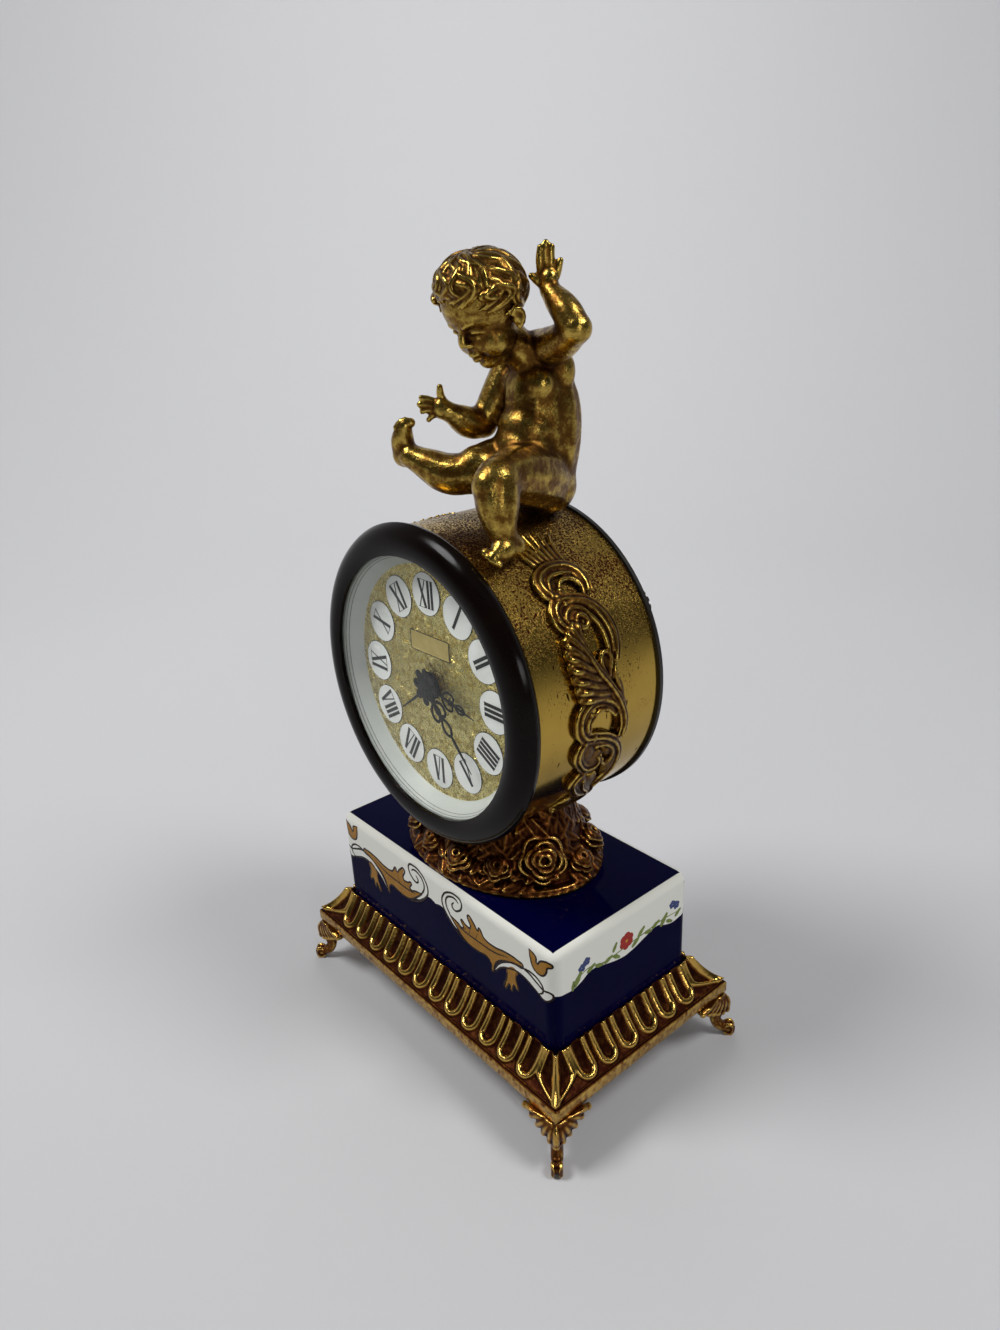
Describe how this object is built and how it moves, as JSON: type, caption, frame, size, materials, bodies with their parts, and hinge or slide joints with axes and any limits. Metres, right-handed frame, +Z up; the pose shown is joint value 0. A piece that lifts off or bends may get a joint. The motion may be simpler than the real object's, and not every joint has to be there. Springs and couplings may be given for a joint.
{
  "type": "figural clock",
  "caption": "Gilt table alarm clock: seated putto on a drum case with scroll mounts, rose mound, painted porcelain plinth and fluted base on scroll feet, wound from behind",
  "frame": {"origin": "middle of the footprint, on the surface that the feet stand on", "axes": "+Z up, the dial faces -Y, +X to the right as the dial is seen"},
  "size_m": [0.1258, 0.0784, 0.2308],
  "materials": {
    "gilt_metal": "cast zinc, gilt and toned dark in the hollows",
    "drum_brass": "lacquered sheet brass, pitted",
    "porcelain": "glazed porcelain, cobalt ground with painted white panels",
    "black_lacquer": "glossy black lacquer",
    "crystal_glass": "clear domed glass",
    "dial_gold": "textured gold foil dial",
    "white_enamel": "white lacquer",
    "hand_black": "satin black lacquer",
    "movement_brass": "stamped clock brass",
    "movement_steel": "turned and hardened steel",
    "knob_black": "moulded black plastic"
  },
  "bodies": {
    "clock_body": {"base_frame": "gilt_metal", "foot_front_left": "gilt_metal", "foot_front_right": "gilt_metal", "foot_rear_left": "gilt_metal", "foot_rear_right": "gilt_metal", "rose_mound": "gilt_metal", "scroll_mount_left": "gilt_metal", "scroll_mount_right": "gilt_metal", "putto_figure": "gilt_metal", "drum_case": "drum_brass", "porcelain_plinth": "porcelain", "bezel": "black_lacquer", "back_cover": "black_lacquer", "crystal": "crystal_glass", "dial_plate": "dial_gold", "dial_ring": "white_enamel", "numeral_plaques": "white_enamel", "front_plate": "movement_brass", "rear_plate": "movement_brass", "pillars": "movement_brass", "balance_cock": "movement_brass", "mount_pins": "movement_brass", "foot_screws": "movement_steel", "bridge_plate": "movement_steel", "tie_rod": "movement_steel", "tie_nuts": "movement_steel", "cover_screws": "movement_steel", "figure_screw": "movement_steel", "pillar_nuts": "movement_steel"},
    "hand_setting": {"centre_arbor": "movement_steel", "cannon_pinion": "movement_brass", "minute_hand": "hand_black", "set_knob": "knob_black"},
    "minute_work": {"minute_wheel": "movement_brass"},
    "hour_work": {"hour_wheel": "movement_brass", "hour_hand": "hand_black"},
    "alarm_dial_work": {"alarm_wheel": "movement_brass", "alarm_hand": "hand_black"},
    "alarm_setting": {"alarm_set_arbor": "movement_steel", "alarm_set_knob": "knob_black"},
    "time_barrel_body": {"time_barrel": "movement_brass", "time_mainspring": "movement_steel"},
    "centre_wheel_body": {"centre_wheel": "movement_brass"},
    "third_wheel_body": {"third_wheel": "movement_brass"},
    "fourth_wheel_body": {"fourth_wheel": "movement_brass"},
    "escape_wheel_body": {"escape_wheel": "movement_brass"},
    "lever_body": {"pallet_lever": "movement_steel"},
    "balance_body": {"balance_wheel": "movement_brass", "hairspring": "movement_steel"},
    "time_winding": {"time_arbor": "movement_steel", "time_key": "movement_brass"},
    "time_click_body": {"time_click": "movement_steel"},
    "alarm_barrel_body": {"alarm_barrel": "movement_brass", "alarm_mainspring": "movement_steel"},
    "alarm_winding": {"alarm_arbor": "movement_steel", "alarm_key": "movement_brass"},
    "alarm_click_body": {"alarm_click": "movement_steel"},
    "alarm_escape_body": {"alarm_escape_wheel": "movement_brass"},
    "hammer_body": {"alarm_hammer": "movement_steel"},
    "stop_button_body": {"stop_button": "knob_black"}
  },
  "joints": [
    {"name": "minute_hand_turn", "type": "hinge", "parent": "clock_body", "child": "hand_setting", "pos_m": [0, 0, 0.12], "axis": [0, 1, 0], "continuous": true},
    {"name": "minute_wheel_turn", "type": "hinge", "parent": "clock_body", "child": "minute_work", "pos_m": [-0.0041, 0, 0.10872], "axis": [0, 1, 0], "continuous": true},
    {"name": "hour_hand_turn", "type": "hinge", "parent": "clock_body", "child": "hour_work", "pos_m": [0, 0, 0.12], "axis": [0, 1, 0], "continuous": true},
    {"name": "alarm_hand_turn", "type": "hinge", "parent": "clock_body", "child": "alarm_dial_work", "pos_m": [0, 0, 0.12], "axis": [0, 1, 0], "continuous": true},
    {"name": "alarm_set_turn", "type": "hinge", "parent": "clock_body", "child": "alarm_setting", "pos_m": [0.02641, 0, 0.13525], "axis": [0, 1, 0], "continuous": true},
    {"name": "fourth_wheel_turn", "type": "hinge", "parent": "clock_body", "child": "fourth_wheel_body", "pos_m": [0.00468, 0, 0.13868], "axis": [0, 1, 0], "continuous": true},
    {"name": "third_wheel_turn", "type": "hinge", "parent": "clock_body", "child": "third_wheel_body", "pos_m": [-0.0081, 0, 0.13403], "axis": [0, 1, 0], "continuous": true},
    {"name": "centre_wheel_turn", "type": "hinge", "parent": "clock_body", "child": "centre_wheel_body", "pos_m": [0, 0, 0.12], "axis": [0, 1, 0], "continuous": true},
    {"name": "time_barrel_turn", "type": "hinge", "parent": "clock_body", "child": "time_barrel_body", "pos_m": [-0.01474, 0, 0.10968], "axis": [0, 1, 0], "continuous": true},
    {"name": "escape_wheel_turn", "type": "hinge", "parent": "clock_body", "child": "escape_wheel_body", "pos_m": [0.01479, 0, 0.1302], "axis": [0, 1, 0], "continuous": true},
    {"name": "lever_rock", "type": "hinge", "parent": "clock_body", "child": "lever_body", "pos_m": [0.01974, 0, 0.12583], "axis": [0, 1, 0], "range_deg": [-4, 4]},
    {"name": "balance_swing", "type": "hinge", "parent": "clock_body", "child": "balance_body", "pos_m": [0.0275, 0, 0.119], "axis": [0, 1, 0], "range_deg": [-200, 200], "stiffness_Nm_per_rad": 0.000004, "deforming": ["hairspring"]},
    {"name": "time_key_wind", "type": "hinge", "parent": "clock_body", "child": "time_winding", "pos_m": [-0.01474, 0, 0.10968], "axis": [0, -1, 0], "range_deg": [0, 900], "deforming": ["time_mainspring"]},
    {"name": "time_click_lift", "type": "hinge", "parent": "clock_body", "child": "time_click_body", "pos_m": [-0.01584, 0, 0.11588], "axis": [0, 1, 0], "range_deg": [0, 10]},
    {"name": "alarm_barrel_turn", "type": "hinge", "parent": "clock_body", "child": "alarm_barrel_body", "pos_m": [0.01638, 0, 0.10853], "axis": [0, 1, 0], "continuous": true},
    {"name": "alarm_key_wind", "type": "hinge", "parent": "clock_body", "child": "alarm_winding", "pos_m": [0.01638, 0, 0.10853], "axis": [0, -1, 0], "range_deg": [0, 900], "deforming": ["alarm_mainspring"]},
    {"name": "alarm_click_lift", "type": "hinge", "parent": "clock_body", "child": "alarm_click_body", "pos_m": [0.01529, 0, 0.11473], "axis": [0, 1, 0], "range_deg": [0, 10]},
    {"name": "alarm_escape_turn", "type": "hinge", "parent": "clock_body", "child": "alarm_escape_body", "pos_m": [0.02388, 0, 0.09554], "axis": [0, 1, 0], "continuous": true},
    {"name": "hammer_swing", "type": "hinge", "parent": "clock_body", "child": "hammer_body", "pos_m": [0.01834, 0, 0.09234], "axis": [0, 1, 0], "range_deg": [-6, 6]},
    {"name": "stop_button_push", "type": "slide", "parent": "clock_body", "child": "stop_button_body", "axis": [0, -1, 0], "range_m": [0, 0.003], "stiffness_N_per_m": 60, "springref_m": -0.001}
  ],
  "couplings": [
    {"joint": "minute_wheel_turn", "follows": "minute_hand_turn", "ratio": -0.33333},
    {"joint": "hour_hand_turn", "follows": "minute_hand_turn", "ratio": 0.083333},
    {"joint": "alarm_set_turn", "follows": "alarm_hand_turn", "ratio": -2.5714},
    {"joint": "third_wheel_turn", "follows": "fourth_wheel_turn", "ratio": -0.13333},
    {"joint": "centre_wheel_turn", "follows": "fourth_wheel_turn", "ratio": 0.016667},
    {"joint": "time_barrel_turn", "follows": "fourth_wheel_turn", "ratio": -0.0020833},
    {"joint": "escape_wheel_turn", "follows": "fourth_wheel_turn", "ratio": -10},
    {"joint": "alarm_escape_turn", "follows": "alarm_barrel_turn", "ratio": -5}
  ]
}
